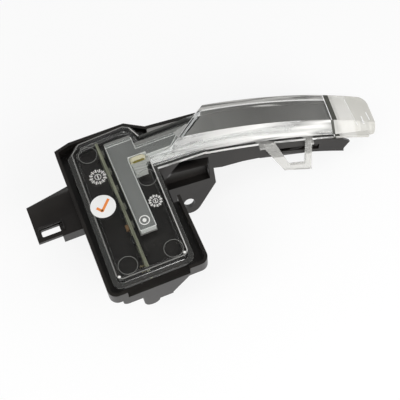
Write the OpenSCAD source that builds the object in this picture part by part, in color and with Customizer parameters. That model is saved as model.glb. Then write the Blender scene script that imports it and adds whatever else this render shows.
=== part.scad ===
// Door mirror side repeater lamp: black tray with a rising arm, clear lens, light guide and board.
// Frame: +X along the arm towards its tip, +Y to the back edge, +Z out of the clear lid.
// The origin is the middle of the screw hole, on the front face of the lug.

/* [Tray] */
// Distance from the arm root to the left outer face of the tray
tray_left = 79.5; // [75:0.1:84]
// Distance from the arm root to the right outer face of the tray
tray_right = 23.4; // [22.6:0.1:24.6]
// Distance from the arm root's front line to the front face of the tray
tray_front = 62.9; // [58:0.1:70]
// Distance from the arm root's front line to the back face of the tray
tray_back = 36.9; // [36:0.1:38.4]
// Depth of the rim's top edge below the top of the lid
rim_drop = 5.5; // [4.6:0.1:6.4]
// Height of the rim above the tray floor
rim_height = 6.7; // [5.4:0.1:9]
// Thickness of the rim and of the wall that the lens is welded to
wall = 1.8; // [1.2:0.1:2.4]
// Thickness of the tray floor
floor_t = 1.8; // [1.2:0.1:3]
// Radius of the tray's two front corners
tray_corner = 5; // [3:0.5:7]
// Width of the cut-out in the front rim
notch_w = 35; // [20:1:40]

/* [Lid] */
// Gap between the lens flange and the left rim
lid_gap_left = 3.3; // [1:0.1:3.8]
// Gap between the lens flange and the right rim, the open channel
lid_gap_right = 4; // [2.4:0.1:5]
// Gap between the lens flange and the front rim
lid_gap_front = 1.4; // [0.6:0.1:3]
// Width of the lens flange round the lid
flange_w = 2.6; // [1.8:0.1:3.2]
// Thickness of the lens flange
flange_t = 2; // [1.2:0.1:2.4]
// Depth of the flange's top face below the top of the lid
flange_drop = 5; // [4:0.1:5.4]
// Wall thickness of the clear lens
lens_wall = 2.2; // [1.6:0.1:2.6]
// Radius of the lid's corners
lid_corner = 4.5; // [3:0.5:6]

/* [Arm] */
// Angle of the arm to the tray, seen from above
arm_turn = 8; // [6:0.5:10]
// Width of the arm from its front edge to its back edge
arm_w = 25.8; // [24:0.2:28]
// Length of the arm from its root to the end wall of the reflector
arm_len = 82; // [76:1:90]
// Length of the clear tip beyond the end wall
tip_len = 24.8; // [18:1:30]
// Radius of the arch of the lens's top face
top_arch_r = 262; // [250:2:280]
// Height of the arch's crest above the top of the lid
top_arch_rise = 4.3; // [3.4:0.1:5.4]
// Distance of the top arch's crest before the arm root
top_arch_back = 20; // [14:1:26]
// Radius of the arch that the flange and the carrier follow
seat_arch_r = 350; // [335:5:370]
// Distance of the seat arch's crest before the arm root
seat_arch_back = 30; // [26:1:34]
// Width and height of the bevel along the lens's front edge
bevel = 6; // [4:0.2:7]
// Depth of the reflector floor below the lens's top face
reflector_drop = 5.2; // [4.4:0.1:6]
// Depth of the carrier channel below the flange seat
channel_depth = 6.2; // [5:0.2:8]

/* [Skirt and lug] */
// Angle at which the skirt and the lug lean back
lean = 20; // [14:1:24]
// Thickness of the skirt
skirt_t = 2.2; // [1.6:0.1:3]
// Reach of the skirt along the arm before the recess
skirt_len = 37.6; // [30:0.2:42]
// Thickness of the screw lug
lug_t = 3; // [2.4:0.1:4]
// Distance of the screw hole below the arm root, along the lug
lug_reach = 36.2; // [33:0.1:39]
// Radius of the screw hole
hole_r = 3.4; // [2.2:0.1:3.8]
// Radius of the lug's nose round the hole
lug_nose_r = 7.7; // [6.4:0.1:8.6]
// Depth of the pocket above the lug
pocket_depth = 5.4; // [4.2:0.2:7]

/* [Tab] */
// Reach of the locating tab beyond the rim
tab_len = 25.2; // [20:0.2:30]
// Width of the locating tab
tab_w = 24; // [21:0.5:27]
// Thickness of the locating tab
tab_t = 2; // [1.4:0.1:2.6]
// Length of the slot in the tab
slot_len = 11; // [8:0.5:13]
// Width of the slot in the tab
slot_w = 4.4; // [4.2:0.1:5.4]

/* [Connector] */
// Width of the connector socket's opening
socket_w = 13; // [11:0.5:15]
// Length of the connector socket's opening
socket_l = 12; // [11:0.2:14]
// Depth of the shroud below the tray floor
shroud_h = 14.3; // [11:0.1:16]
// Wall thickness of the shroud
shroud_wall = 1.8; // [1.2:0.1:2.2]
// Side of the square contact pins
pin_side = 0.8; // [0.6:0.1:1]
// Distance between neighbouring contact pins
pin_pitch = 2.3; // [1.9:0.1:2.3]

/* [Board] */
// Length of the upright circuit board
board_len = 82.2; // [74:0.2:82.6]
// Thickness of the circuit board
board_t = 1.6; // [1:0.1:2]
// Side of a light-emitting diode's body
led_side = 3; // [2:0.1:3.4]
// Distance between neighbouring diodes
led_pitch = 12; // [8:0.5:13]

/* [Optics] */
// Width of the clear optic's leg along the board
leg_w = 9.6; // [8:0.2:10]
// Length of the optic's leg from the back edge
leg_len = 58; // [48:1:64]
// Thickness of the flat optic
optic_t = 4.4; // [3:0.1:4.8]
// Side of the square light guide rod
rod_side = 3; // [2:0.1:3.2]
// Thickness of the reflector plate
plate_t = 1.4; // [1:0.1:1.8]

/* [Label] */
// Diameter of the round inspection label
label_d = 14; // [10:0.5:16]
// Thickness of the label
label_t = 0.3; // [0.1:0.1:0.5]

/* [Hidden] */
clearance = 0.3;
// Overlap that merges neighbouring bodies into one
merge = 0.8;
root_at = [50, 18.4];
left_x = root_at[0] - tray_left;
right_x = root_at[0] - tray_right;
front_y = root_at[1] - tray_front;
back_y = root_at[1] + tray_back;
rim_z = -rim_drop;
floor_z = rim_z - rim_height;
under_z = floor_z - floor_t;
seat_z = -flange_drop - flange_t;

// Where the right rim stops and the floor's edge beyond it
right_rim_end = root_at[1] - 19.4;
right_edge_x = right_x - 4;
notch_centre_x = left_x + 27.1;

// Back corners of the tray
back_left = [left_x + 0.7, back_y - 2.6];
back_left_2 = [left_x + 10, back_y];
back_right = [right_x - 12.8, back_y];
carrier_w = arm_w + 1.8;
back_notch = [right_x - 2.2, root_at[1] + carrier_w + 2.5];

// The lid leans a little to the right towards its back
lid_shift = 1;
lid_left_x = left_x + wall + lid_gap_left;
lid_right_x = right_x - wall - lid_gap_right;
lid_front_y = front_y + wall + lid_gap_front;
neck_corner = [lid_right_x + 0.6, root_at[1] + 1.2];
neck_w = arm_w - 2.8;
neck_back = [lid_right_x + 0.4, root_at[1] + neck_w - 1];
lip_w = 1.5;

function turned(p, a) = [p[0] * cos(a) - p[1] * sin(a), p[0] * sin(a) + p[1] * cos(a)];
function arm_point(p) = root_at + turned(p, -arm_turn);
function arch_drop(r, back, x) = r - sqrt(r * r - (x + back) * (x + back));
function seat_top(x) = -flange_drop + 0.8 - arch_drop(seat_arch_r, seat_arch_back, x);
function lens_top(x) = top_arch_rise - arch_drop(top_arch_r, top_arch_back, x);
pitch = atan2(seat_top(0) - seat_top(arm_len), arm_len);
// Place along the skirt, in step with the arm's length
function along(x) = x * arm_len / 82;
wall_origin = [root_at[0], root_at[1], seat_top(0)];
hole_x = -6.8;

function rot_x(v, a) = [v[0], v[1] * cos(a) - v[2] * sin(a), v[1] * sin(a) + v[2] * cos(a)];
function rot_y(v, a) = [v[0] * cos(a) + v[2] * sin(a), v[1], v[2] * cos(a) - v[0] * sin(a)];
function rot_z(v, a) = [v[0] * cos(a) - v[1] * sin(a), v[0] * sin(a) + v[1] * cos(a), v[2]];
function on_wall(v) = wall_origin + rot_z(rot_y(rot_x(v, 90 - lean), pitch), -arm_turn);
screw_hole_at = on_wall([hole_x, -lug_reach, 0]);

module from_screw_hole() {
    translate(-screw_hole_at) children();
}

module in_arm_frame() {
    translate([root_at[0], root_at[1], 0]) rotate([0, 0, -arm_turn]) children();
}

module in_wall_frame() {
    translate(wall_origin) rotate([0, 0, -arm_turn]) rotate([0, pitch, 0]) rotate([90 - lean, 0, 0])
        children();
}

function unit(v) = v / norm(v);
function left_of(a, b) = let (u = unit(b - a)) [-u[1], u[0]];
function crossing(p, u, q, v) =
    p + u * (((q - p)[0] * v[1] - (q - p)[1] * v[0]) / (u[0] * v[1] - u[1] * v[0]));
function before(i, n) = (i + n - 1) % n;
function after(i, n) = (i + 1) % n;
// Moves each edge of an outline inward by its own distance
function inset(pts, by) = [
    for (i = [0 : len(pts) - 1])
        let (a = pts[before(i, len(pts))], b = pts[i], c = pts[after(i, len(pts))])
            crossing(b + left_of(a, b) * by[before(i, len(pts))], unit(b - a),
                b + left_of(b, c) * by[i], unit(c - b))
];
function same(value, pts) = [for (p = pts) value];
// Point where the line from p touches the circle, on the side given by sgn
function touching(p, centre, r, sgn) =
    let (a = atan2(p[1] - centre[1], p[0] - centre[0]) + sgn * acos(r / norm(p - centre)))
        centre + r * [cos(a), sin(a)];

module corner_waste(a, b, c, r) {
    half = acos(unit(a - b) * unit(c - b)) / 2;
    centre = b + unit(unit(a - b) + unit(c - b)) * (r / sin(half));
    t1 = b + unit(a - b) * (r / tan(half));
    t2 = b + unit(c - b) * (r / tan(half));
    difference() {
        polygon([for (p = [centre, t1, b, t2]) centre + (p - centre) * 1.2]);
        // The circle sits a hair towards the corner, so that it crosses both sides cleanly
        translate(centre + unit(b - centre) / 100) circle(r = r, $fn = 64);
    }
}

module rounded(pts, radii) {
    difference() {
        polygon(pts);
        for (i = [0 : len(pts) - 1])
            if (radii[i] > 0)
                corner_waste(pts[before(i, len(pts))], pts[i], pts[after(i, len(pts))], radii[i]);
    }
}

module prism(z0, z1) {
    translate([0, 0, z0]) linear_extrude(z1 - z0) children();
}

// Solid swept along the top arch: section points are [distance from the front edge, depth]
module along_top_arch(section, x0, x1) {
    a0 = asin((x0 + top_arch_back) / top_arch_r);
    a1 = asin((x1 + top_arch_back) / top_arch_r);
    translate([-top_arch_back, 0, top_arch_rise - top_arch_r]) rotate([90, 0, 0])
        rotate([0, 0, 90 - a1]) rotate_extrude(angle = a1 - a0, $fn = 360)
            polygon([for (p = section) [top_arch_r - p[1], -p[0]]]);
}

// Everything under the arch of the flange seat, lowered by the given depth
module below_seat(depth) {
    translate([-seat_arch_back, 0, seat_top(-seat_arch_back) - seat_arch_r]) rotate([90, 0, 0])
        cylinder(r = seat_arch_r - depth, h = 160, center = true, $fn = 720);
}

module arm_box(x0, x1, y0, y1, z0, z1) {
    translate([x0, y0, z0]) cube([x1 - x0, y1 - y0, z1 - z0]);
}

module arm_slice(x0, x1) {
    intersection() {
        children();
        arm_box(x0, x1, -40, 80, -80, 30);
    }
}

tray_pts = [
    [left_x, front_y], [right_x, front_y], [right_x, right_rim_end], [right_edge_x, right_rim_end],
    back_notch, back_right, back_left_2, back_left
];
tray_radii = [tray_corner, tray_corner, 0, 0, 0, 0, 0, 0];

flange_pts = [
    [lid_left_x - lid_shift, lid_front_y], [lid_right_x - lid_shift, lid_front_y], neck_corner, root_at,
    arm_point([0, neck_w]), neck_back, [lid_right_x - 3.5, back_y - 5.7], [lid_right_x - 8.3, back_y - 2.7],
    [lid_left_x + 7.9, back_y - 4.3], [lid_left_x + lid_shift, back_y - 11.2]
];
// Only the two front corners of the lid are round
function front_radii(r) = [for (i = [0 : 9]) i < 2 ? r : 0];
lid_flange_pts = inset(flange_pts, [for (i = [0 : 9]) i == 3 ? -merge : 0]);
body_in = [flange_w, flange_w, lip_w, -merge / 2, 0, flange_w, flange_w, flange_w, flange_w, flange_w];
body_pts = inset(flange_pts, body_in);
cavity_pts = inset(body_pts, [for (i = [0 : 9]) i == 3 ? -0.1 : lens_wall]);
tip_x = arm_len + tip_len;
end_wall_t = 1.8;
seat_step = [arm_len, arm_len + end_wall_t];
shoulder_at = [-16, 7.8];
shoulder_turn = 44;
shoulder_tilt = 25;
miter = sqrt(2) - 1;
// Upright land between the flange and the bevel
bevel_land = 0.5;

// Removes what lies left of the shoulder, in the arm's frame
module left_of_shoulder(back_off) {
    translate([shoulder_at[0], shoulder_at[1], 0]) rotate([0, 0, shoulder_turn])
        translate([0, -back_off, 0]) rotate([shoulder_tilt, 0, 0])
            translate([-60, 0, -60]) cube([140, 90, 140]);
}

// Removes what lies above a 45 degree bevel that starts on the line from a to b at height z
module bevel_waste(a, b, z) {
    translate([a[0], a[1], z]) rotate([0, 0, atan2(b[1] - a[1], b[0] - a[0])]) rotate([45, 0, 0])
        cube([norm(b - a) + 4, 40, 40]);
}

module tip_plan(d) {
    rounded(
        [[-28, lip_w + d], [tip_x - d, lip_w + d], [tip_x - d, arm_w - d], [-28, arm_w - d]],
        [0, 5 - d, 5.4 - d, 0]
    );
}

module arm_lens_outer() {
    intersection() {
        difference() {
            along_top_arch(
                [
                    [arm_w + merge, 0], [lip_w + bevel, 0], [lip_w - merge, bevel + merge],
                    [lip_w - merge, 16], [arm_w + merge, 16]
                ],
                -27, tip_x + 3
            );
            left_of_shoulder(0);
            below_seat(flange_t);
            arm_box(-60, 0, -10, 60, -60, -flange_drop - merge);
        }
        prism(-60, 20) tip_plan(0);
    }
}

module arm_lens_cavity() {
    w = lens_wall;
    intersection() {
        difference() {
            along_top_arch(
                [
                    [arm_w - w + merge, w], [lip_w + bevel + w * miter, w],
                    [lip_w + w - merge, bevel + w * miter + merge], [lip_w + w - merge, 18],
                    [arm_w - w + merge, 18]
                ],
                -27, tip_x + 3
            );
            left_of_shoulder(w / cos(shoulder_tilt));
            arm_box(-60, 0, -10, 60, -60, seat_z - 1);
        }
        prism(-60, 20) tip_plan(w);
    }
}

module lid_outer() {
    difference() {
        prism(seat_z, 0) rounded(body_pts, front_radii(lid_corner - 0.9));
        bevel_waste(body_pts[2], body_pts[3], -flange_drop + bevel_land);
    }
    prism(seat_z, -flange_drop) rounded(lid_flange_pts, front_radii(lid_corner));
}

module lid_cavity() {
    difference() {
        prism(seat_z - 1, -lens_wall) rounded(cavity_pts, front_radii(lid_corner - 2.9));
        bevel_waste(cavity_pts[2], cavity_pts[3], -flange_drop + bevel_land - lens_wall * miter);
    }
}

clip_outer = [[along(29.2), 5.9], [along(49.6), -18.2], [along(67.2), -19.7], [along(63.5), 4.1]];
clip_inner = [[along(37.1), 3.8], [along(52.9), -15], [along(62.6), -15.3], [along(60.4), 1.7]];
clip_t = 2.5;
clip_gap = 0.3;
clip_reach = 3.4;

module loop_clip() {
    intersection() {
        in_wall_frame() translate([0, 0, clip_gap]) linear_extrude(clip_t) difference() {
            polygon(clip_outer);
            polygon([for (i = [0 : 3]) clip_inner[i] + (i == 0 || i == 3 ? [0, 4] : [0, 0])]);
        }
        in_arm_frame() below_seat(0);
    }
    in_arm_frame() intersection() {
        difference() {
            below_seat(0);
            below_seat(flange_t);
        }
        union() {
            arm_box(along(31.2), along(38.8), -clip_reach, lip_w, -60, 20);
            arm_box(along(59.6), along(63.9), -clip_reach, lip_w, -60, 20);
        }
    }
}

module outer_lens() {
    color("#e6ebee") from_screw_hole() difference() {
        union() {
            lid_outer();
            in_arm_frame() arm_lens_outer();
            in_arm_frame() intersection() {
                difference() {
                    below_seat(0);
                    below_seat(flange_t);
                }
                arm_box(merge / 4, tip_x - 6, 0, lip_w + lens_wall, -60, 20);
            }
            loop_clip();
        }
        lid_cavity();
        in_arm_frame() arm_lens_cavity();
    }
}

// Outline of the weld wall: it stands under the lens flange and the lens walls
weld_in = 0.4;
weld_pts = inset(flange_pts, [for (i = [0 : 9]) i == 3 ? -4 : (i == 2 || i == 4 ? 0 : weld_in)]);
weld_inner_pts = inset(weld_pts, [for (i = [0 : 9]) i == 3 ? 0 : wall]);
neck_floor_pts = [
    [right_edge_x - 3, root_at[1] - 2], root_at + [0, -8], arm_point([2, -8]), arm_point([2, carrier_w]),
    arm_point([0, carrier_w]), back_notch, back_notch - [5, 0]
];
back_wall_pts = [
    back_notch - [3, 0], back_notch - [0, wall], arm_point([0, arm_w]), arm_point([2, arm_w]),
    arm_point([2, carrier_w]), arm_point([0, carrier_w]), back_notch
];

module before_wall(depth) {
    in_wall_frame() translate([-90, -60, -depth]) cube([240, 120, 60]);
}

recess_end = along(70.7);
recess_wall = 1.6;
recess_depth = 1.8;
carrier_end = seat_step[1];
skirt_nose = arm_len + 8.7;

module arm_carrier() {
    difference() {
        in_arm_frame() difference() {
            intersection() {
                difference() {
                    below_seat(flange_t);
                    below_seat(flange_t + channel_depth + floor_t);
                }
                arm_box(merge / 2, carrier_end, -14, carrier_w, -60, 20);
            }
            difference() {
                arm_box(-20, arm_len, -20, arm_w - wall, -60, 20);
                below_seat(flange_t + channel_depth);
            }
        }
        before_wall(0);
    }
}

module skirt() {
    intersection() {
        in_wall_frame() translate([0, 0, -skirt_t]) linear_extrude(skirt_t) polygon([
            [-30, 6], [arm_len - 2, 6], [arm_len - 0.6, -0.4], [skirt_nose, -4.6],
            [skirt_nose - 4.1, -10.5], [skirt_nose - 12, -10], [recess_end, -9.2], [recess_end, -4],
            [skirt_len, -4], [skirt_len, -8.4], [along(23.5), -9.7], [along(10.9), -12], [-30, -12]
        ]);
        union() {
            in_arm_frame() difference() {
                below_seat(flange_t);
                arm_box(-400, 0, -200, 200, -400, 20);
            }
            in_arm_frame() arm_box(-100, 0, -60, 60, -80, seat_z);
        }
    }
}

// Wall behind the skirt where the skirt is cut away
module recess_wall() {
    intersection() {
        in_wall_frame() translate([skirt_len - 3, -10.5, -recess_depth - wall])
            cube([recess_end - skirt_len + 6, 20, wall]);
        in_arm_frame() below_seat(flange_t);
    }
    intersection() {
        in_wall_frame() translate([recess_end, -9, -recess_depth - wall])
            cube([recess_wall, 12, recess_depth + wall]);
        in_arm_frame() below_seat(flange_t);
    }
}

// Section of the lens cavity, shrunk by a gap and carried down to the given depth
function cavity_section(gap, depth) = [
    [arm_w - lens_wall - gap, lens_wall + gap],
    [lip_w + bevel + (lens_wall + gap) * miter, lens_wall + gap],
    [lip_w + lens_wall + gap, bevel + (lens_wall + gap) * miter],
    [lip_w + lens_wall + gap, depth],
    [arm_w - lens_wall - gap, depth]
];

module arm_end_wall() {
    in_arm_frame() arm_slice(seat_step[0], seat_step[1])
        along_top_arch(cavity_section(clearance, 14), arm_len - 6, arm_len + 14);
}

refl_front = 8.7;
refl_back = arm_w - lens_wall - 0.4;
rod_y = lip_w + lens_wall + 1.7;
rod_depth = 6.1;
seat_gap = 0.05;
trough_depth = rod_depth + rod_side + seat_gap;
trough_front = rod_y - 0.6;
rib_at = [along(16), along(40), along(64)];
rib_t = 1.2;

// Ribs in the arm that carry the reflector
module arm_ribs() {
    in_arm_frame() difference() {
        intersection() {
            along_top_arch(
                [
                    [refl_back - 0.4, reflector_drop + plate_t],
                    [refl_front + plate_t, reflector_drop + plate_t],
                    [refl_front + plate_t, trough_depth + plate_t],
                    [trough_front, trough_depth + plate_t],
                    [trough_front, 18], [refl_back - 0.4, 18]
                ],
                0, arm_len
            );
            union() {
                for (x = rib_at)
                    arm_box(x, x + rib_t, 0, arm_w, -60, 20);
            }
        }
        below_seat(flange_t + channel_depth + floor_t / 2);
    }
}

module weld_wall() {
    difference() {
        prism(under_z, seat_z) difference() {
            rounded(weld_pts, front_radii(lid_corner - 0.5));
            rounded(weld_inner_pts, front_radii(lid_corner - 2.5));
        }
        in_arm_frame() arm_box(0, 60, -30, 60, -60, 20);
        before_wall(0);
    }
}

module tray() {
    prism(under_z, rim_z) difference() {
        rounded(tray_pts, tray_radii);
        rounded(
            inset(tray_pts, [wall, wall, -0.5, -0.5, wall, wall, wall, wall]),
            [tray_corner - wall, tray_corner - wall, 0, 0, 0, 0, 0, 0]
        );
    }
    prism(under_z, floor_z) rounded(tray_pts, tray_radii);
    difference() {
        prism(under_z, floor_z) polygon(neck_floor_pts);
        before_wall(0);
    }
    prism(under_z, rim_z) polygon(back_wall_pts);
}

pocket_pts = [[-14.7, -4.7], [1.9, -3.6], [4.3, -19.1], [-21.3, -24.6], [-24, -17.6]];
pocket_deep_pts = [[-17.2, -12.9], [1.7, -10], [4.3, -19.1], [-21.3, -24.6], [-24, -17.6]];
lug_pts_right = [8.3, -22.7];
lug_pts_left = [-26, -28];
hole_at = [hole_x, -lug_reach];

module lug() {
    in_wall_frame() {
        translate([0, 0, -lug_t]) linear_extrude(lug_t) {
            polygon([
                [-29, -10], [5.7, -10], [5.7, -11.3], lug_pts_right,
                touching(lug_pts_right, hole_at, lug_nose_r, -1), hole_at,
                touching(lug_pts_left, hole_at, lug_nose_r, 1), lug_pts_left
            ]);
            translate(hole_at) circle(r = lug_nose_r, $fn = 96);
        }
        // Pocket box behind the lug
        translate([0, 0, -pocket_depth - wall]) linear_extrude(pocket_depth + wall)
            polygon(inset(pocket_deep_pts, same(wall, pocket_deep_pts)));
        // Ribs that stiffen the lug from behind
        for (rib = [[-22, -29], [3, -25]])
            rotate([0, 90, 0]) translate([0, 0, rib[0]]) linear_extrude(wall)
                polygon([[lug_t - 1, rib[1]], [lug_t - 1, -8], [12, -8], [12, -12]]);
    }
}

tab_back = root_at[1] + 9.7;
tab_left = left_x - tab_len + 0.5;
tab_front = root_at[1] - 15;
tab_z = rim_z - 4.5;
tab_arc_r = 22;
tab_flat_end = tab_front + tab_w * 0.44;
slot_at = [tab_left + 3.1, tab_front + 2.5];

module tab() {
    difference() {
        intersection() {
            translate([tab_left, 0, 0]) rotate([90, 0, 90]) linear_extrude(left_x + 1 - tab_left) {
                translate([tab_front, tab_z - tab_t]) square([tab_flat_end - tab_front, tab_t]);
                translate([tab_flat_end, tab_z + tab_arc_r]) intersection() {
                    difference() {
                        circle(r = tab_arc_r + tab_t, $fn = 180);
                        circle(r = tab_arc_r, $fn = 180);
                    }
                    translate([0, -tab_arc_r - tab_t]) square([tab_w * 0.7, tab_arc_r]);
                }
            }
            prism(-40, 10) polygon([
                [tab_left, tab_front], [left_x + 1, tab_front - 1], [left_x + 1, tab_front + tab_w + 0.8],
                [tab_left, tab_front + tab_w - 2.4]
            ]);
        }
        translate([slot_at[0], slot_at[1], tab_z - tab_t - 1]) linear_extrude(tab_t + 2)
            rounded([[0, 0], [slot_len, 0], [slot_len, slot_w], [0, slot_w]], [0.8, 0.8, 0.8, 0.8]);
    }
    // Raised edge behind and beside the slot, and the step under the tab
    translate([slot_at[0] - 1, slot_at[1] + slot_w + 0.8, tab_z - 0.5]) cube([slot_len + 3, 1, 1.4]);
    translate([slot_at[0] + slot_len + 1, slot_at[1], tab_z - 0.5]) cube([1, slot_w + 1.8, 1.4]);
    translate([left_x - 11.2, tab_front - 0.9, tab_z - 7.5]) cube([12, wall, 7.5]);
    translate([left_x - 11.2, tab_front - 0.9, tab_z - 7.5]) cube([wall, 12, 7]);
}

socket_x = left_x + 25.6;
shroud_w = socket_w + 2 * shroud_wall;
shroud_l = socket_l + 2 * shroud_wall;
socket_y = front_y + shroud_l / 2;
shroud_z = under_z - shroud_h;

module on_front_face(t) {
    translate([0, front_y + t, 0]) rotate([90, 0, 0]) linear_extrude(t) children();
}

module connector() {
    translate([socket_x - shroud_w / 2, front_y, shroud_z]) cube([shroud_w, shroud_l, shroud_h + floor_t]);
    // Locking nose, foot and sloping web on the front face
    on_front_face(shroud_wall) {
        translate([socket_x - 3.7, shroud_z]) circle(r = 4.2, $fn = 64);
        rounded(
            [[socket_x - 19.4, under_z + 1], [socket_x - 19.4, under_z - 5.7], [socket_x, under_z - 5.7],
                [socket_x, under_z + 1]],
            [0, 3.4, 0, 0]
        );
        polygon([
            [socket_x, shroud_z], [socket_x + 7.3, shroud_z], [socket_x + 19.2, under_z + 1],
            [socket_x, under_z + 1]
        ]);
    }
    translate([0, shroud_l - shroud_wall, 0]) on_front_face(shroud_wall) polygon([
        [socket_x, shroud_z], [socket_x + 7.3, shroud_z], [socket_x + 19.2, under_z + 1],
        [socket_x, under_z + 1]
    ]);
}

board_x = left_x + 23.3;
board_y = front_y + 8.4;
board_z = floor_z;
board_h = 9.4;
pins_y = front_y + 10.8;
plate_z = seat_z - plate_t;
slot_gap = 0.1;
pin_x = board_x - 2.2;
pin_reach = 9;

module tray_ribs() {
    // Guides that hold the board upright
    for (y = [board_y + 9, board_y + board_len - 7]) {
        translate([board_x - slot_gap - 1.6, y, floor_z - 0.5]) cube([1.6, 3, 3.7]);
        translate([board_x + board_t + slot_gap, y, floor_z - 0.5]) cube([1.6, 3, 3.7]);
    }
    // Ribs under the reflector plate
    for (y = [root_at[1] - 31, root_at[1] - 12, root_at[1] + 8])
        translate([board_x + 5, y, floor_z - 0.5]) cube([leg_w - 1.6, rib_t, plate_z - floor_z + 0.5]);
    for (x = [right_x - 6, right_x + 2])
        translate([x, root_at[1] + 4, floor_z - 0.5]) cube([rib_t, 15.2, plate_z - floor_z + 0.5]);
}

module housing_body() {
    tray();
    weld_wall();
    arm_carrier();
    arm_end_wall();
    arm_ribs();
    skirt();
    recess_wall();
    lug();
    tab();
    connector();
    tray_ribs();
}

// Pocket above the lug: shallow at its top, deep at its bottom
module pocket() {
    in_wall_frame() {
        translate([0, 0, -1]) linear_extrude(8) polygon(pocket_pts);
        translate([0, 0, -pocket_depth]) linear_extrude(pocket_depth + 8) polygon(pocket_deep_pts);
    }
}

// Opening of the socket and the holes for its pins
module socket_opening() {
    hole_side = pin_side + 2 * slot_gap;
    translate([socket_x - socket_w / 2, socket_y - socket_l / 2, shroud_z - 6])
        cube([socket_w, socket_l, shroud_h + 6]);
    for (i = [-1 : 1])
        translate([pin_x - hole_side / 2, pins_y + i * pin_pitch - hole_side / 2, under_z - 1])
            cube([hole_side, hole_side, floor_t + 2]);
}

module screw_hole() {
    in_wall_frame() translate([hole_x, -lug_reach, -lug_t - 20])
        cylinder(r = hole_r, h = lug_t + 40, $fn = 96);
}

module rim_notch() {
    translate([notch_centre_x - notch_w / 2, front_y - 1, floor_z + 0.6]) cube([notch_w, wall + 1, 20]);
}

module housing() {
    color("#2a2b2d") difference() {
        from_screw_hole() housing_body();
        from_screw_hole() pocket();
        from_screw_hole() socket_opening();
        from_screw_hole() rim_notch();
        from_screw_hole() screw_hole();
    }
}

// Flat optic and the reflector plate below it, an L whose short arm ends at the shoulder
optic_left = board_x + board_t + 2.8;
optic_right = optic_left + leg_w;
optic_back = root_at[1] + neck_w + 1.2;
optic_front = optic_back - leg_len;
neck_inner_back = root_at[1] + neck_w - lens_wall - 3.3;
neck_front = root_at[1] + 9.6;
led_notch_y = root_at[1] + 11.6;
guide_x = optic_right + 0.5;
optic_step_x = lid_right_x - 6.6;
optic_end_x = root_at[0] - 17;
optic_pts = [
    [optic_left, optic_front], [optic_right, optic_front], [optic_right, led_notch_y],
    [guide_x + 9.6, led_notch_y], [guide_x + 9.6, neck_front], [optic_end_x, neck_front],
    [optic_end_x + 0.1 + neck_inner_back - neck_front, neck_inner_back],
    [optic_step_x, neck_inner_back], [optic_step_x, optic_back],
    [optic_left, optic_back]
];

module flat_optic() {
    color("#d5dadb") from_screw_hole() prism(seat_z, seat_z + optic_t)
        rounded(optic_pts, [0.8, 0.8, 0, 0, 0, 0, 0, 0, 0, 0]);
}

refl_section = [
    [refl_back, lens_wall + 0.8], [refl_back, reflector_drop + plate_t],
    [refl_front + plate_t, reflector_drop + plate_t], [refl_front + plate_t, trough_depth + plate_t],
    [trough_front, trough_depth + plate_t], [trough_front, trough_depth], [refl_front, trough_depth],
    [refl_front, reflector_drop], [refl_back - 1.2, reflector_drop], [refl_back - 1.2, lens_wall + 0.8]
];
refl_floor_section = [
    [refl_back - 1, reflector_drop], [refl_back - 1, reflector_drop + plate_t],
    [refl_front + 0.2, reflector_drop + plate_t], [refl_front + 0.2, reflector_drop]
];
riser_off = lens_wall / cos(shoulder_tilt) + 0.4;
trough_start = 3.2;

// A box along the shoulder line: from d0 to d1 behind it
module along_shoulder(d0, d1, z0, z1) {
    translate([shoulder_at[0], shoulder_at[1], 0]) rotate([0, 0, shoulder_turn])
        translate([-60, -d1, z0]) cube([140, d1 - d0, z1 - z0]);
}

module reflector() {
    color("#8f9293") from_screw_hole() {
        prism(plate_z, seat_z) polygon(inset(optic_pts, [0, 0, 0, 0, 0, -6, 0, 0, -1.3, 0]));
        // Low wall behind the flat optic
        translate([optic_left, optic_back + 0.1, plate_z])
            cube([optic_step_x - optic_left - 0.4, 1.1, seat_z + optic_t - plate_z]);
        in_arm_frame() {
            arm_slice(trough_start, arm_len) along_top_arch(refl_section, -4, arm_len + 8);
            difference() {
                along_top_arch(refl_floor_section, -14, trough_start + 0.5);
                along_shoulder(-100, riser_off, -60, 60);
            }
            // Riser from the flat plate to the arm's floor
            intersection() {
                along_top_arch(
                    [
                        [refl_back - 3, reflector_drop + 0.4], [refl_back - 3, 16], [refl_front + 0.6, 16],
                        [refl_front + 0.6, reflector_drop + 0.4]
                    ],
                    -16, 8
                );
                along_shoulder(riser_off + 0.3, riser_off + plate_t, plate_z + 0.2, 60);
            }
            // End flange against the housing's wall
            arm_slice(arm_len - 1.2, arm_len) along_top_arch(
                [
                    [refl_back, lens_wall + 0.8], [refl_back, reflector_drop + plate_t],
                    [refl_front, reflector_drop + plate_t], [refl_front, lens_wall + 0.8]
                ],
                arm_len - 6, arm_len + 8
            );
        }
    }
}

// Light guide: a block in front of the lamp's own diode and a rod along the front of the arm
guide_y = root_at[1] + 0.6;
guide_rod_y = root_at[1] + 5.5;
guide_top = plate_z + rod_side;

// Plan of the low rod: it bends where the arm's front line begins
guide_end = arm_point([trough_start - 0.3, rod_y]);
along_arm = turned([1, 0], -arm_turn);
function guide_bend(y, arm_y) = crossing([guide_x, y], [1, 0], arm_point([0, arm_y]), along_arm);
guide_plan = [
    [guide_x, guide_rod_y], guide_bend(guide_rod_y, rod_y), guide_end,
    arm_point([trough_start - 0.3, rod_y + rod_side]),
    guide_bend(guide_rod_y + rod_side, rod_y + rod_side), [guide_x, guide_rod_y + rod_side]
];

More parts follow.
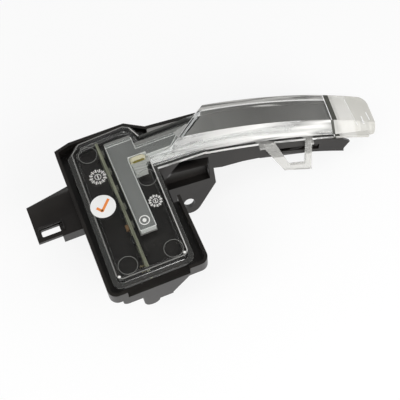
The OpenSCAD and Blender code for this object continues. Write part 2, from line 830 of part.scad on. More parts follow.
module light_guide() {
    color("#f2f5f6") from_screw_hole() {
        translate([guide_x + 0.3, guide_y, guide_top - rod_side + 0.3]) cube([7.1, 5.2, rod_side + 1.9]);
        prism(guide_top - rod_side, guide_top) polygon(guide_plan);
        in_arm_frame() {
            arm_slice(trough_start - 0.5, arm_len - 0.3) along_top_arch(
                [
                    [rod_y, rod_depth], [rod_y + rod_side, rod_depth],
                    [rod_y + rod_side, rod_depth + rod_side], [rod_y, rod_depth + rod_side]
                ],
                -4, arm_len + 8
            );
            // Step from the neck's level up to the arm's level
            arm_box(
                0.5, trough_start - 0.4, rod_y + 0.1, rod_y + rod_side - 0.1, guide_top - 1,
                lens_top(trough_start) - rod_depth - 0.1
            );
        }
    }
}

module circuit_board() {
    color("#8f9670") from_screw_hole() translate([board_x, board_y, board_z])
        cube([board_t, board_len, board_h]);
}

led_z = seat_z + optic_t / 2;
led_t = 1.2;

module board_led(i) {
    color("#f1efdf") from_screw_hole()
        translate([board_x + board_t, optic_front + 5 + i * led_pitch, led_z - led_side / 2])
            cube([led_t, led_side, led_side]);
}

// Diode of the light guide: a cream frame with its emitter, facing the guide's block
ring_x = guide_x + 4.6;
ring_y = guide_rod_y + rod_side + clearance;
ring_z = -5;
module oval(w, h) {
    rounded([[-w / 2, -h / 2], [w / 2, -h / 2], [w / 2, h / 2], [-w / 2, h / 2]],
        [h / 2 - 0.01, h / 2 - 0.01, h / 2 - 0.01, h / 2 - 0.01]);
}

module guide_led_ring() {
    color("#efe6c4") from_screw_hole() translate([ring_x, ring_y, ring_z]) rotate([-90, 0, 0])
        difference() {
            linear_extrude(2.2) oval(9, 4.8);
            translate([0, 0, -1]) linear_extrude(2.4) oval(7, 3);
        }
}

module guide_led() {
    color("#b3a050") from_screw_hole() translate([ring_x, ring_y + 0.2, ring_z]) rotate([-90, 0, 0])
        linear_extrude(1.2) oval(6.8, 2.8);
}

module on_board_back(y, z, l, h, t, shade) {
    color(shade) from_screw_hole() translate([board_x - t, board_y + y, z]) cube([t, l, h]);
}

module driver_chip() {
    on_board_back(16, floor_z + 3, 5, 4.4, 1.5, "#1d1d1f");
}

module capacitor() {
    on_board_back(26, floor_z + 3, 3.2, 2.6, 1.8, "#8c6f4a");
}

module protection_diode() {
    on_board_back(34, floor_z + 3, 4.4, 2.8, 1.6, "#242424");
}

module resistor_1() {
    on_board_back(44, floor_z + 3, 2, 3.2, 0.6, "#17171a");
}

module resistor_2() {
    on_board_back(49, floor_z + 3, 2, 3.2, 0.6, "#17171a");
}

// Bent contact pin: its foot is soldered to the board, its blade reaches into the socket
module terminal(i) {
    color("#c9b98a") from_screw_hole() {
        translate([pin_x - pin_side / 2, pins_y + i * pin_pitch - pin_side / 2, under_z - pin_reach])
            cube([pin_side, pin_side, floor_z + 1.2 + pin_side - under_z + pin_reach]);
        translate([pin_x - pin_side / 2, pins_y + i * pin_pitch - pin_side / 2, floor_z + 1.2])
            cube([board_x - pin_x + pin_side / 2, pin_side, pin_side]);
    }
}

module inspection_label() {
    color("#f7f7f5") from_screw_hole() translate([left_x + 14.3, root_at[1] - 12.9, 0])
        cylinder(d = label_d, h = label_t, $fn = 128);
}

housing();
outer_lens();
reflector();
flat_optic();
light_guide();
circuit_board();
board_led(0);  // board_led_1
board_led(1);  // board_led_2
board_led(2);  // board_led_3
board_led(3);  // board_led_4
board_led(4);  // board_led_5
guide_led_ring();
guide_led();
driver_chip();
capacitor();
protection_diode();
resistor_1();
resistor_2();
terminal(-1);  // terminal_1
terminal(0);  // terminal_2
terminal(1);  // terminal_3
inspection_label();
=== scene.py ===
import math

import bmesh
import bpy
from mathutils import Euler, Matrix, Vector


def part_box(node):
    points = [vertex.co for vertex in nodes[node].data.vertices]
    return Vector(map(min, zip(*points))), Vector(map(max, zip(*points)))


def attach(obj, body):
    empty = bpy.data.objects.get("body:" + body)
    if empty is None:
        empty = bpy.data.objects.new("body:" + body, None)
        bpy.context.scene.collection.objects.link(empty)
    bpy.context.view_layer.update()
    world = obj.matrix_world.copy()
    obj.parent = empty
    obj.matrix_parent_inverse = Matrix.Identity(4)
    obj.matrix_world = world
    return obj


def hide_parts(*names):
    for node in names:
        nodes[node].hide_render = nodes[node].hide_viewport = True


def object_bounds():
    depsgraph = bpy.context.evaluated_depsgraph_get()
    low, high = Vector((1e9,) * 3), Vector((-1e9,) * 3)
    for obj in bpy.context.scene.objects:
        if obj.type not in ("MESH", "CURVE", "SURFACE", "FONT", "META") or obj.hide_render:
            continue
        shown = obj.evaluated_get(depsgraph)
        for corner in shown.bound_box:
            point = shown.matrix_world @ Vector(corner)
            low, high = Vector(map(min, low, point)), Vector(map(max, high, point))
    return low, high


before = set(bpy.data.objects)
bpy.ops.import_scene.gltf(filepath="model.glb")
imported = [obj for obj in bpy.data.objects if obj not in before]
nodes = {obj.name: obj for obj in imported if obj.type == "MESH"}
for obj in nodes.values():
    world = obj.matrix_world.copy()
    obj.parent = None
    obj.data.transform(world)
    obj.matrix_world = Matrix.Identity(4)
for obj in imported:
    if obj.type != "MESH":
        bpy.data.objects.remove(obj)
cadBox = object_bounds()
scene = bpy.context.scene
mm = 0.001

# The tray has a frame of its own, in mm: the round label stands at this spot on the lid's level top
labelSpot = Vector((-15.2, 5.5, 0.0))
labelLow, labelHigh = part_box("inspection_label")
labelFoot = Vector(((labelLow.x + labelHigh.x) / 2, (labelLow.y + labelHigh.y) / 2, labelLow.z))
screwHole = labelSpot - labelFoot / mm
armRoot = Vector((50.0, 18.4))
armTurn = math.radians(-8)
alongArm = Vector((math.cos(armTurn), math.sin(armTurn), 0.0))
acrossArm = Vector((-math.sin(armTurn), math.cos(armTurn), 0.0))
arch = {"crest": 4.3, "radius": 262.0, "crestAt": -20.0}  # the lens's arched top over the arm


def part(x, y, z):  # from the tray's frame in mm to the part's frame in metres
    return (Vector((x, y, z)) - screwHole) * mm


def armPoint(along, across):  # from along and across the arm to the tray's frame, in mm
    return armRoot + alongArm.xy * along + acrossArm.xy * across


def armPlace(point):  # from the part's frame in metres to along, across and above the arm's root in mm
    way = Vector(point) / mm + screwHole - armRoot.to_3d()
    return way.dot(alongArm), way.dot(acrossArm), way.z


def archTop(along):
    drop = arch["radius"] - math.sqrt(arch["radius"] ** 2 - (along - arch["crestAt"]) ** 2)
    return arch["crest"] - drop


# The photo's view: the tray frame's origin shows at originPixel, at a scale of mmPerPixel there
camera = {
    "focalPixels": 883.0,
    "imagePixels": 400.0,
    "mmPerPixel": 0.54,
    "originPixel": (133.0, 205.0),
    "turnDegrees": (28.430, 1.546, -22.412),
    "sensorMm": 36.0,
    "clipStart": 0.01,
}


def makeCamera():
    middle = camera["imagePixels"] / 2
    across, down = ((pixel - middle) * camera["mmPerPixel"] for pixel in camera["originPixel"])
    turn = Euler([math.radians(v) for v in camera["turnDegrees"]]).to_matrix()
    eye = turn @ Vector((-across, down, camera["focalPixels"] * camera["mmPerPixel"]))
    data = bpy.data.cameras.new("photoCamera")
    data.sensor_width = camera["sensorMm"]
    data.lens = camera["focalPixels"] / camera["imagePixels"] * camera["sensorMm"]
    data.clip_start = camera["clipStart"]
    holder = bpy.data.objects.new("photoCamera", data)
    scene.collection.objects.link(holder)
    holder.matrix_world = Matrix.Translation(part(*eye)) @ turn.to_4x4()
    scene.camera = holder


makeCamera()
print("camera placed")


def linear(code):  # sRGB hex to linear RGBA
    values = [int(code[i:i + 2], 16) / 255 for i in (1, 3, 5)]
    return [v / 12.92 if v <= 0.04045 else ((v + 0.055) / 1.055) ** 2.4 for v in values] + [1.0]


# Settings are the node's own, or the values of its sockets, and links name the sockets to feed
def addNode(tree, kind, settings=None, links=None):
    node = tree.nodes.new(kind)
    for key, value in (settings or {}).items():
        if isinstance(key, str) and hasattr(node, key):
            setattr(node, key, value)
        else:
            node.inputs[key].default_value = value
    for key, source in (links or {}).items():
        tree.links.new(source, node.inputs[key])
    return node


def newMaterial(name):
    material = bpy.data.materials.new(name)
    material.use_nodes = True
    material.node_tree.nodes.clear()
    return material, material.node_tree


# The skin that a mould leaves, as a swell of the surface: fine when spark eroded, slow when polished
def mouldedSurface(tree, sizeMm, strength, depthMm):
    place = addNode(tree, "ShaderNodeTexCoord").outputs["Object"]
    swell = addNode(tree, "ShaderNodeTexNoise", {"Scale": 1 / (sizeMm * mm), "Detail": 3.0},
                    {"Vector": place})
    bump = addNode(tree, "ShaderNodeBump", {"Strength": strength, "Distance": depthMm * mm},
                   {"Height": swell.outputs["Fac"]})
    return place, swell.outputs["Fac"], bump.outputs["Normal"]


noiseEnds = (0.35, 0.65)  # the levels at which a noise counts as fully dark and fully light


def twoTone(tree, level, low, high, ends=noiseEnds):  # a colour that shifts between two shades
    share = addNode(tree, "ShaderNodeMapRange", {"From Min": ends[0], "From Max": ends[1]}, {"Value": level})
    colour = addNode(tree, "ShaderNodeMix", {"data_type": "RGBA", 6: linear(low), 7: linear(high)},
                     {0: share.outputs["Result"]})
    return colour.outputs[2]


def alongMap(tree, place, scale=(1.0, 1.0, 1.0)):  # texture coordinates whose X runs along the arm
    settings = {"vector_type": "TEXTURE", "Rotation": (0.0, 0.0, armTurn), "Scale": scale}
    lay = addNode(tree, "ShaderNodeMapping", settings, {"Vector": place})
    split = addNode(tree, "ShaderNodeSeparateXYZ", {}, {0: lay.outputs["Vector"]})
    return lay.outputs["Vector"], split.outputs["X"]


def alongEnds(fadeMm, stretch=1.0):  # from mm along the arm to the X of alongMap
    rootMm = (armRoot - screwHole.xy).dot(alongArm.xy)
    return [(v + rootMm) * mm / stretch for v in fadeMm]


# The real grain is about 0.05 mm and is drawn coarser, at grainMm, so that it shows
mould = {"grainMm": 0.3, "grainDepthMm": 0.05, "patchMm": 18.0}


# Opaque plastic: the grain breaks up the shine, and slow patches or a painted shade that fades along the arm
# shift the colour
def opaquePlastic(name, low, high, roughness, specular, grainMm=mould["grainMm"], strength=0.12, metallic=0.0,
                  fadeMm=None):
    material, tree = newMaterial(name)
    place, grain, normal = mouldedSurface(tree, grainMm, strength, mould["grainDepthMm"])
    # painted shade: the colour darkens along the arm
    if fadeMm:
        colour = twoTone(tree, alongMap(tree, place)[1], low, high, alongEnds(fadeMm))
    else:
        patches = addNode(tree, "ShaderNodeTexNoise", {"Scale": 1 / (mould["patchMm"] * mm), "Detail": 2.0},
                          {"Vector": place})
        colour = twoTone(tree, patches.outputs["Fac"], low, high)
    shine = addNode(tree, "ShaderNodeMapRange",
                    {"From Min": noiseEnds[0], "From Max": noiseEnds[1],
                     "To Min": roughness[0], "To Max": roughness[1]}, {"Value": grain})
    shader = addNode(tree, "ShaderNodeBsdfPrincipled", {"Specular IOR Level": specular, "Metallic": metallic},
                     {"Base Color": colour, "Roughness": shine.outputs["Result"], "Normal": normal})
    addNode(tree, "ShaderNodeOutputMaterial", {}, {"Surface": shader.outputs["BSDF"]})
    return material


# Streaks of painted light that run with the arm, each stretch times as long as it is wide, as light bent by
# the mould's flow leaves them. The sparser they are, the higher the noise rises before one shows, and the
# darker it is between
flow = {
    "stretch": 120.0,
    "rise": 4.0,
    "detail": 0.5,
    "darkAt": 0.35,
    "darkAtIfSparse": 0.52,
    "lightAt": 0.6,
    "lightAtIfSparse": 0.68,
    "between": 0.35,
}


def streaks(tree, place, widthMm, strength, sparse, fadeMm, fadeLeast):
    lay, along = alongMap(tree, place, (flow["stretch"], 1.0, flow["rise"]))
    wave = 2 * widthMm * mm  # a light line and the dark one beside it
    lines = addNode(tree, "ShaderNodeTexNoise", {"Scale": 1 / wave, "Detail": flow["detail"]},
                    {"Vector": lay})
    level = addNode(tree, "ShaderNodeMapRange",
                    {"From Min": flow["darkAt"] + sparse * (flow["darkAtIfSparse"] - flow["darkAt"]),
                     "From Max": flow["lightAt"] + sparse * (flow["lightAtIfSparse"] - flow["lightAt"]),
                     "To Min": strength * flow["between"] * (1 - sparse), "To Max": strength},
                    {"Value": lines.outputs["Fac"]})
    if not fadeMm:
        return level.outputs["Result"]
    start, end = alongEnds(fadeMm, flow["stretch"])
    fade = addNode(tree, "ShaderNodeMapRange",
                   {"From Min": start, "From Max": end, "To Min": fadeLeast, "To Max": 1.0}, {"Value": along})
    both = addNode(tree, "ShaderNodeMath", {"operation": "MULTIPLY"},
                   {0: level.outputs["Result"], 1: fade.outputs["Result"]})
    return both.outputs[0]


acrylic = {"ior": 1.49, "paintedLightRoughness": 0.35, "swellMm": 14.0, "swellDepthMm": 0.4, "shadowTint": "#f4f6f6"}


# Acrylic from a polished mould: a slow swell bends what lies behind it, and a milky share is painted light
# that stands for light caught in it. The lamps shine through it, so that its shadow is open
def clearPlastic(name, tint, roughness, paintedLight=0.0, paintedLightColour="#ffffff", swellMm=acrylic["swellMm"],
                 strength=0.03, streakMm=0.0, sparse=0.0, fadeMm=None, fadeLeast=1.0):
    material, tree = newMaterial(name)
    place, _, normal = mouldedSurface(tree, swellMm, strength, acrylic["swellDepthMm"])
    shader = addNode(tree, "ShaderNodeBsdfPrincipled",
                     {"Base Color": linear(tint), "Roughness": roughness, "IOR": acrylic["ior"],
                      "Transmission Weight": 1.0}, {"Normal": normal})
    surface = shader.outputs["BSDF"]
    # the milky share is painted light, not a frosted surface
    if paintedLight:
        paintedLightBsdf = addNode(tree, "ShaderNodeBsdfPrincipled",
                        {"Base Color": linear(paintedLightColour), "Roughness": acrylic["paintedLightRoughness"]})
        share = addNode(tree, "ShaderNodeMixShader", {0: paintedLight}, {1: surface, 2: paintedLightBsdf.outputs["BSDF"]})
        if streakMm:
            lines = streaks(tree, place, streakMm, paintedLight, sparse, fadeMm, fadeLeast)
            tree.links.new(lines, share.inputs[0])
        surface = share.outputs[0]
    rays = addNode(tree, "ShaderNodeLightPath")
    lampLight = addNode(tree, "ShaderNodeMath", {"operation": "MAXIMUM"},
                        {0: rays.outputs["Is Shadow Ray"], 1: rays.outputs["Is Diffuse Ray"]})
    passed = addNode(tree, "ShaderNodeBsdfTransparent", {"Color": linear(acrylic["shadowTint"])})
    mix = addNode(tree, "ShaderNodeMixShader", {},
                  {0: lampLight.outputs[0], 1: surface, 2: passed.outputs["BSDF"]})
    addNode(tree, "ShaderNodeOutputMaterial", {}, {"Surface": mix.outputs[0]})
    return material


board = {
    "dark": "#5f6050",
    "light": "#999983",
    "roughness": 0.38,
    "plyMm": 0.5,
    "plyDepthMm": 0.05,
    "plyBump": 0.2,
    "plySquash": 0.04,
}


# Lacquered glass laminate: its plies run along the board and show as fine olive lines on the cut edge. A real
# ply is about 0.2 mm thick and is drawn at plyMm, so that it shows
def laminate(name):
    material, tree = newMaterial(name)
    place = addNode(tree, "ShaderNodeTexCoord").outputs["Object"]
    lay = addNode(tree, "ShaderNodeMapping", {"Scale": (1.0, board["plySquash"], 1.0)}, {"Vector": place})
    plies = addNode(tree, "ShaderNodeTexNoise", {"Scale": 1 / (board["plyMm"] * mm), "Detail": 2.0},
                    {"Vector": lay.outputs["Vector"]})
    bump = addNode(tree, "ShaderNodeBump",
                   {"Strength": board["plyBump"], "Distance": board["plyDepthMm"] * mm},
                   {"Height": plies.outputs["Fac"]})
    shader = addNode(tree, "ShaderNodeBsdfPrincipled", {"Roughness": board["roughness"]},
                     {"Base Color": twoTone(tree, plies.outputs["Fac"], board["dark"], board["light"]),
                      "Normal": bump.outputs["Normal"]})
    addNode(tree, "ShaderNodeOutputMaterial", {}, {"Surface": shader.outputs["BSDF"]})
    return material


# The tray's blend of polycarbonate and ABS, spark-eroded mould: near black with a soft, broken shine
blackAbs = opaquePlastic("blackPcAbsSparkEroded", "#181513", "#211e1b", (0.3, 0.4), 0.6)
# The same blend in grey, satin, with painted shade: lighter at the arm's root than along the arm, where less
# light comes in
greyPlastic = opaquePlastic("greySatinPcAbs", "#989693", "#6a6865", (0.3, 0.42), 0.5, grainMm=0.6,
                            strength=0.06, metallic=0.2, fadeMm=(-14.1, 36.9))

# The outer lens, clear acrylic from a polished mould: seen only by what it reflects
clearAcrylic = clearPlastic("clearAcrylicPolished", "#f9f9f8", 0.01)
# Its broken edges gather light, painted as pale lines
edgeAcrylic = clearPlastic("clearAcrylicEdge", "#ffffff", 0.12, 0.85, "#dddcd8")
# The lid's top edge shows as a grey line of painted light, and as a brighter painted highlight on its right
# side, which faces the right lamp
lineAcrylic = clearPlastic("clearAcrylicEdgeLight", "#ffffff", 0.12, 0.7, "#8c8b88")
brightLineAcrylic = clearPlastic("clearAcrylicEdgeBright", "#ffffff", 0.12, 0.85, "#c9c8c5")
# The flange lies on black and looks like a thin grey film: a painted sheen
flangeAcrylic = clearPlastic("clearAcrylicFlange", "#ffffff", 0.1, 0.18, "#7a7a77")
# The arm's front lip shows as a streaky white rim of painted light
lipAcrylic = clearPlastic("clearAcrylicLip", "#ffffff", 0.1, 0.8, "#f0efec", streakMm=0.5)
# The neck's upright walls mirror the grey reflector: a painted reflection
wallAcrylic = clearPlastic("clearAcrylicOverGrey", "#c8c8c6", 0.05, 0.7, "#646461")
# The dark band is the end wall, seen through the lens
stripAcrylic = clearPlastic("clearAcrylicOverEndWall", "#808078", 0.1, 0.95, "#3e3e36")
# The tip is full of caught light, painted milky and wavy, with a greyer end and a band on its front that are
# painted shade
tipAcrylic = clearPlastic("clearAcrylicTipFacets", "#f4f3f0", 0.08, 0.6, "#dfddd8", swellMm=6.0, strength=0.3)
facetAcrylic = clearPlastic("clearAcrylicTipFacet", "#f4f3f0", 0.08, 0.7, "#cfcdc6")
tipShadeAcrylic = clearPlastic("clearAcrylicTipShade", "#f4f3f0", 0.08, 0.7, "#bfbdb7")
# The arm's back strip and front bevel bend the light guide's light, painted as long white streaks
backStripAcrylic = clearPlastic("clearAcrylicBackStrip", "#ffffff", 0.05, 0.75, "#d2d1cd", streakMm=0.6)
bevelAcrylic = clearPlastic("clearAcrylicFrontBevel", "#ffffff", 0.05, 0.97, "#eae9e6", streakMm=1.1,
                            sparse=0.2, fadeMm=(-14.0, 40.0), fadeLeast=0.3)
# The top keeps a few thin flow lines, drawn as painted light
topStreakAcrylic = clearPlastic("clearAcrylicTopFlowLineLight", "#ffffff", 0.02, 0.8, "#e9e8e4", streakMm=0.9,
                                sparse=1.0)
# The loop clip is thin and a little wavy: clear, with a pale haze of painted light
clipAcrylic = clearPlastic("clearAcrylicLoopClip", "#e4e3e0", 0.1, 0.25, "#dddbd7", swellMm=5.0, strength=0.1)
# Facets and prism corners flash white or pale grey: painted highlights. Mould marks are real, shown as faint
# grey lines of painted light
facetGlintAcrylic = clearPlastic("clearAcrylicFacetLight", "#ffffff", 0.1, 0.75)
shoulderAcrylic = clearPlastic("clearAcrylicShoulderFacet", "#ffffff", 0.1, 0.7, "#b4b3b0")
glintAcrylic = clearPlastic("clearAcrylicCornerGlint", "#ffffff", 0.1, 0.9)
markAcrylic = clearPlastic("clearAcrylicMouldMark", "#ffffff", 0.12, 0.6, "#8f8f8b")

# The flat optic is satin acrylic with bright edges of painted light, where the light leaves it
opticAcrylic = clearPlastic("opticAcrylicSatin", "#efeeec", 0.12, 0.08)
opticEdge = clearPlastic("opticAcrylicEdge", "#ffffff", 0.2, 0.85, "#f4f3ef")
# The light guide glows along its length in fine streaks of painted light
guideAcrylic = clearPlastic("guideAcrylicPolished", "#ffffff", 0.05, 0.68, "#d2d1cc", streakMm=0.9,
                            sparse=0.15)

boardLaminate = laminate("glassLaminateLacquered")
# Moulded polyphthalamide, the diodes' bodies: cream at the guide; on the board the same cream bodies are
# painted dull grey, as painted shade of the dark tray
diodeBody = opaquePlastic("whitePpaMoulded", "#e9dfbd", "#f6eed2", (0.3, 0.4), 0.5)
shadedDiodeBody = opaquePlastic("whitePpaPaintedShade", "#55554c", "#6a6a5e", (0.3, 0.4), 0.5)
# Cast silicone resin over the chip of a diode: a glossy mustard yellow
diodeResin = opaquePlastic("amberSiliconeResin", "#8f8038", "#b5a352", (0.2, 0.3), 0.5)
# Moulded epoxy: matt black, with a fine grain
chipBlack = opaquePlastic("blackEpoxyMoulded", "#161617", "#1e1e20", (0.45, 0.6), 0.4, grainMm=0.15)
# Fired ceramic: dry tan brown
ceramicTan = opaquePlastic("tanCeramicFired", "#866544", "#99764f", (0.35, 0.5), 0.5, grainMm=0.15)
# Pressed brass with a tin coat: a warm metal shine with a fine grain
tinned = opaquePlastic("tinnedBrassPressed", "#b9ad88", "#d2c7a2", (0.2, 0.35), 0.5, grainMm=0.2,
                       strength=0.1, metallic=1.0)
# Coated paper: flat white with hardly any shine, and stamp ink that dries matt on it
paper = opaquePlastic("whiteCoatedPaper", "#f0f0ee", "#f8f8f6", (0.45, 0.55), 0.4, grainMm=0.25,
                      strength=0.05)
orangeInk = opaquePlastic("orangeStampInk", "#e8833c", "#f39a55", (0.5, 0.6), 0.3, grainMm=0.25,
                          strength=0.05)
print("materials made")

brokenEdge = {"segments": 2, "sharpDegrees": 24, "flatDegrees": 0.6, "mergeMm": 0.002}


# A copy of a drawn solid with its edges broken, as a mould or a tool leaves them. zone names the material of
# each face, which on the lens and optic is mostly painted light or shade, and an edge material goes on the
# broken edges too
def edged(name, node, material, widthMm, zoneMaterials=None, cuts=(), zone=None):
    mesh = nodes[node].data.copy()
    mesh.name = name
    bm = bmesh.new()
    bm.from_mesh(mesh)
    bmesh.ops.remove_doubles(bm, verts=bm.verts, dist=brokenEdge["mergeMm"] * mm)
    flat = math.radians(brokenEdge["flatDegrees"])
    bmesh.ops.dissolve_limit(bm, angle_limit=flat, verts=bm.verts, edges=bm.edges)
    for at, across in cuts:
        whole = bm.verts[:] + bm.edges[:] + bm.faces[:]
        bmesh.ops.bisect_plane(bm, geom=whole, plane_co=at, plane_no=across)
    for face in bm.faces:
        face.smooth = True
    bm.to_mesh(mesh)
    bm.free()
    mesh.materials.clear()
    for zoneMaterial in (material, *(zoneMaterials or {}).values()):
        mesh.materials.append(zoneMaterial)
    order = ["plain", *(zoneMaterials or {})]
    for polygon in mesh.polygons:
        polygon.material_index = order.index(zone(polygon.center, polygon.normal)) if zone else 0
    sharp = math.radians(brokenEdge["sharpDegrees"])
    mesh.set_sharp_from_angle(angle=sharp)
    piece = bpy.data.objects.new(name, mesh)
    scene.collection.objects.link(piece)
    bevel = piece.modifiers.new("brokenEdges", "BEVEL")
    bevel.width = widthMm * mm
    bevel.segments = brokenEdge["segments"]
    bevel.limit_method = "ANGLE"
    bevel.angle_limit = sharp
    bevel.harden_normals = True
    bevel.miter_outer = "MITER_SHARP"
    if "edge" in order:
        bevel.material = order.index("edge")
    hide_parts(node)
    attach(piece, "root")


# Where bent light makes the lens milky or dark: places in mm along and across the arm from its root
lens = {
    "bevelTo": 7.6,  # across: the slanted band and the lip lie in front of this
    "bevelFrom": -16.0,  # along
    "lipFrom": -14.0,  # along
    "backStripAcross": 22.6,
    "backStripFrom": -12.0,  # along
    "flowAcross": 17.0,
    "flowAlong": (-8.0, 52.0),
    "clipFrom": 20.0,  # along
    "clipBefore": -0.4,  # across
    "topLine": (77.9, 78.4),  # along, and so are the next four
    "topStrip": (78.4, 81.6),
    "bevelStrip": (77.4, 79.2),
    "facetFrom": 92.6,
    "tipShade": (96.5, 102.5),
    "neckAlong": (-36.0, 2.0),
    "neckAcross": 18.5,
    "flangeTo": -26.0,  # along
    "flangeBelow": -4.0,  # height, where the lid's top is at 0
    "shoulderNormal": (-0.63, 0.652, 0.423),  # along, across and up
}
# How far a face turns a way, as the cosine of the angle between its normal and that way
facing = {"leaning": 0.5, "steep": 0.85, "square": 0.9, "alike": 0.95}
turned = Vector(lens["shoulderNormal"])
shoulderNormal = alongArm * turned.x + acrossArm * turned.y + Vector((0.0, 0.0, turned.z))


def lensZone(centre, normal):  # the material that a face of the lens wears: painted light or shade on most faces
    along, across, up = armPlace(centre)
    side = normal.dot(acrossArm)
    rising = normal.z > facing["leaning"]
    front = across < lens["bevelTo"]
    slanted = front and rising and normal.z < facing["steep"] and side < -facing["leaning"]
    lip = front and side < -facing["steep"]
    strip = lens["bevelStrip"] if slanted or lip else lens["topStrip"]
    if lens["clipFrom"] < along < lens["topLine"][0] and across < lens["clipBefore"]:
        return "clip"
    if lens["tipShade"][0] < along < lens["tipShade"][1] and slanted:
        return "tipShade"
    if along > lens["facetFrom"]:
        return "facet"
    if along > strip[1]:
        return "tip"
    if along > strip[0] and (rising or lip):
        return "endStrip"
    if along > lens["topLine"][0] and normal.z > facing["steep"]:
        return "glint"
    if abs(normal.dot(shoulderNormal)) > facing["alike"]:
        return "glint"
    if along > lens["backStripFrom"] and across > lens["backStripAcross"] and rising:
        return "backStrip"
    if lens["flowAlong"][0] < along < lens["flowAlong"][1] and across > lens["flowAcross"] and rising:
        return "flowLineLight"
    if along > lens["bevelFrom"] and slanted:
        return "bevel"
    if along > lens["lipFrom"] and lip:
        return "lip"
    inNeck = lens["neckAlong"][0] < along < lens["neckAlong"][1]
    if inNeck and across > lens["neckAcross"] and abs(side) > facing["square"]:
        return "neckWall"
    if along < lens["flangeTo"] and up < lens["flangeBelow"] and normal.z > facing["square"]:
        return "flange"
    return "plain"


def lensCuts():  # planes that part two zones, square to the arm and then along it
    alongCuts = {*lens["topLine"], *lens["topStrip"], *lens["bevelStrip"], *lens["tipShade"]}
    alongCuts |= {lens["facetFrom"], lens["flowAlong"][1]}
    cuts = [(part(*armPoint(v, 0), 0), alongArm) for v in sorted(alongCuts)]
    return cuts + [(part(*armPoint(0, lens[k]), 0), acrossArm) for k in ("backStripAcross", "flowAcross")]


lensZoneMaterials = {
    "edge": edgeAcrylic,
    "tip": tipAcrylic,
    "backStrip": backStripAcrylic,
    "bevel": bevelAcrylic,
    "clip": clipAcrylic,
    "glint": glintAcrylic,
    "flowLineLight": topStreakAcrylic,
    "endStrip": stripAcrylic,
    "lip": lipAcrylic,
    "neckWall": wallAcrylic,
    "facet": facetAcrylic,
    "tipShade": tipShadeAcrylic,
    "flange": flangeAcrylic,
}


def opticZone(centre, normal):  # the optic's sides and front ends shine white with painted light, its top and back are satin
    return "edge" if abs(normal.x) > facing["square"] or normal.y < -facing["square"] else "plain"


edged("trayAndArm", "housing", blackAbs, 0.28)
edged("clearLens", "outer_lens", clearAcrylic, 0.45, lensZoneMaterials, lensCuts(), lensZone)
edged("reflectorPlate", "reflector", greyPlastic, 0.15)
edged("lidOptic", "flat_optic", opticAcrylic, 0.35, {"edge": opticEdge}, zone=opticZone)
edged("guideRod", "light_guide", guideAcrylic, 0.25)
edged("circuitBoard", "circuit_board", boardLaminate, 0.1)
# The board's diodes wear the cream bodies' grey painted shade
for i in range(1, 6):
    edged(f"boardDiode{i}", f"board_led_{i}", shadedDiodeBody, 0.12)
edged("guideDiodeFrame", "guide_led_ring", diodeBody, 0.12)
edged("guideDiodeResin", "guide_led", diodeResin, 0.1)
edged("driverChip", "driver_chip", chipBlack, 0.12)
edged("capacitorBody", "capacitor", ceramicTan, 0.12)
edged("protectionDiode", "protection_diode", chipBlack, 0.12)
edged("resistorOne", "resistor_1", chipBlack, 0.08)
edged("resistorTwo", "resistor_2", chipBlack, 0.08)
for i in range(1, 4):
    edged(f"contactPin{i}", f"terminal_{i}", tinned, 0.08)
edged("inspectionLabel", "inspection_label", paper, 0.08)
print("drawn solids dressed")


def addPiece(name, bm, material):
    mesh = bpy.data.meshes.new(name)
    bmesh.ops.recalc_face_normals(bm, faces=bm.faces)
    bm.to_mesh(mesh)
    bm.free()
    mesh.materials.append(material)
    piece = bpy.data.objects.new(name, mesh)
    scene.collection.objects.link(piece)
    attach(piece, "root")


# A ring, or a disc where inner is 0, that stands on the level z of its centre
def addRing(bm, centre, inner, outer, height, steps=48):
    profile = [(outer, height), (outer, 0)]
    if inner:
        profile = [(inner, 0), (inner, height), *profile]
    rows = []
    for i in range(steps):
        angle = 2 * math.pi * i / steps
        spots = [(r * math.cos(angle), r * math.sin(angle), z) for r, z in profile]
        rows.append([bm.verts.new(part(*(Vector(centre) + Vector(spot)))) for spot in spots])
    for i in range(steps):
        one, two = rows[i], rows[(i + 1) % steps]
        for j in range(len(profile) if inner else 1):
            k = (j + 1) % len(profile)
            bm.faces.new((one[j], two[j], two[k], one[k]))
    if not inner:
        bm.faces.new([row[0] for row in rows])
        bm.faces.new([row[1] for row in reversed(rows)])


def addPrism(bm, bottom, top):  # a prism between two outlines in the part's frame
    bottom = [bm.verts.new(point) for point in bottom]
    top = [bm.verts.new(point) for point in top]
    bm.faces.new(top)
    bm.faces.new(bottom[::-1])
    for i in range(len(top)):
        j = (i + 1) % len(top)
        bm.faces.new((bottom[i], bottom[j], top[j], top[i]))


def addBar(bm, start, end, width, low, high):  # a flat bar between two points of the tray's frame
    start, end = Vector(start), Vector(end)
    way = (end - start).normalized()
    side = Vector((-way.y, way.x)) * width / 2
    corners = [start - side, end - side, end + side, start + side]
    addPrism(bm, [part(*c, low) for c in corners], [part(*c, high) for c in corners])


# Date clock: long and short ticks round a plain ring with a hand, white with painted light that the raised
# marks catch
dateClock = {
    "height": 0.12,
    "under": 0.05,
    "ticks": 12,
    "longTick": (0.58, 1.0, 0.55),  # start and end as shares of the clock's radius, and width in mm
    "shortTick": (0.72, 0.9, 0.4),
    "ring": (0.38, 0.3),  # share of the radius, and width in mm, as for the hand
    "hand": (0.25, 0.5),
}


